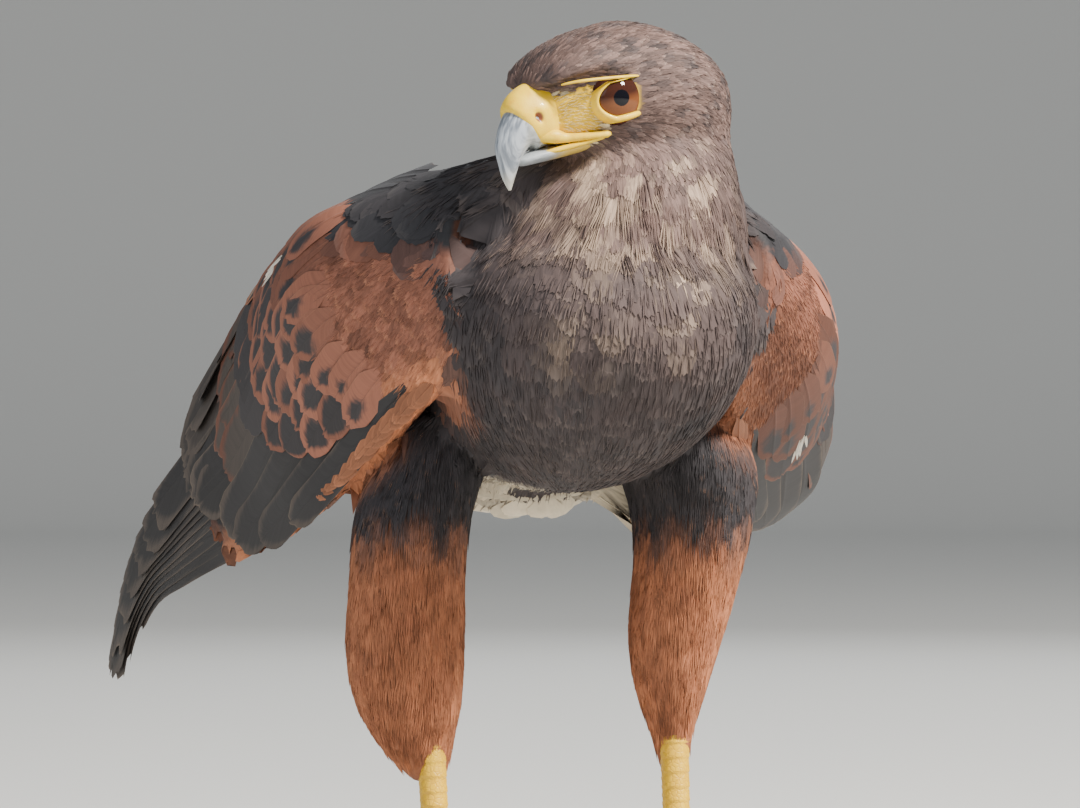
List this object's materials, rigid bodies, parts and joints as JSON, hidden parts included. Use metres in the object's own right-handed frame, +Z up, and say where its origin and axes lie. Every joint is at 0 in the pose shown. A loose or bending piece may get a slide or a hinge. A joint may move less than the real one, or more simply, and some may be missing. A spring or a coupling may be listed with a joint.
{
  "type": "harris hawk",
  "caption": "Life-size Harris's hawk standing alert with folded, drooping wings, its head turned to its right, long feathered thighs and bare yellow feet.",
  "frame": {"origin": "on the floor under the soles, at the middle of the whole bird's bounding box", "axes": "+Z up, -Y the way the breast faces, -X the bird's right side"},
  "size_m": [0.223, 0.403, 0.2944],
  "materials": {
    "dark_plumage": "matt dark chocolate-grey feathers with buff streaks",
    "rust_plumage": "matt chestnut feathers",
    "wing_plumage": "satin slate flight feathers with chestnut coverts",
    "tail_plumage": "satin dark feathers, white at the root and the tip",
    "cream_plumage": "matt cream feathers",
    "yellow_skin": "waxy yellow skin",
    "bill_horn": "smooth blue-grey horn",
    "claw_horn": "smooth black horn",
    "eye": "wet red-brown eye"
  },
  "bodies": {
    "root": {"torso": "dark_plumage", "neck": "dark_plumage", "head": "dark_plumage", "eye_left": "eye", "eye_right": "eye", "cere": "yellow_skin", "bill_upper": "bill_horn", "bill_lower": "bill_horn", "wing_left": "wing_plumage", "wing_right": "wing_plumage", "tail": "tail_plumage", "undertail_coverts": "cream_plumage", "uppertail_coverts": "cream_plumage", "thigh_right": "rust_plumage", "tarsus_right": "yellow_skin", "foot_right": "yellow_skin", "claw_inner_right": "claw_horn", "claw_middle_right": "claw_horn", "claw_outer_right": "claw_horn", "claw_hind_right": "claw_horn", "thigh_left": "rust_plumage", "tarsus_left": "yellow_skin", "foot_left": "yellow_skin", "claw_inner_left": "claw_horn", "claw_middle_left": "claw_horn", "claw_outer_left": "claw_horn", "claw_hind_left": "claw_horn"}
  },
  "joints": []
}
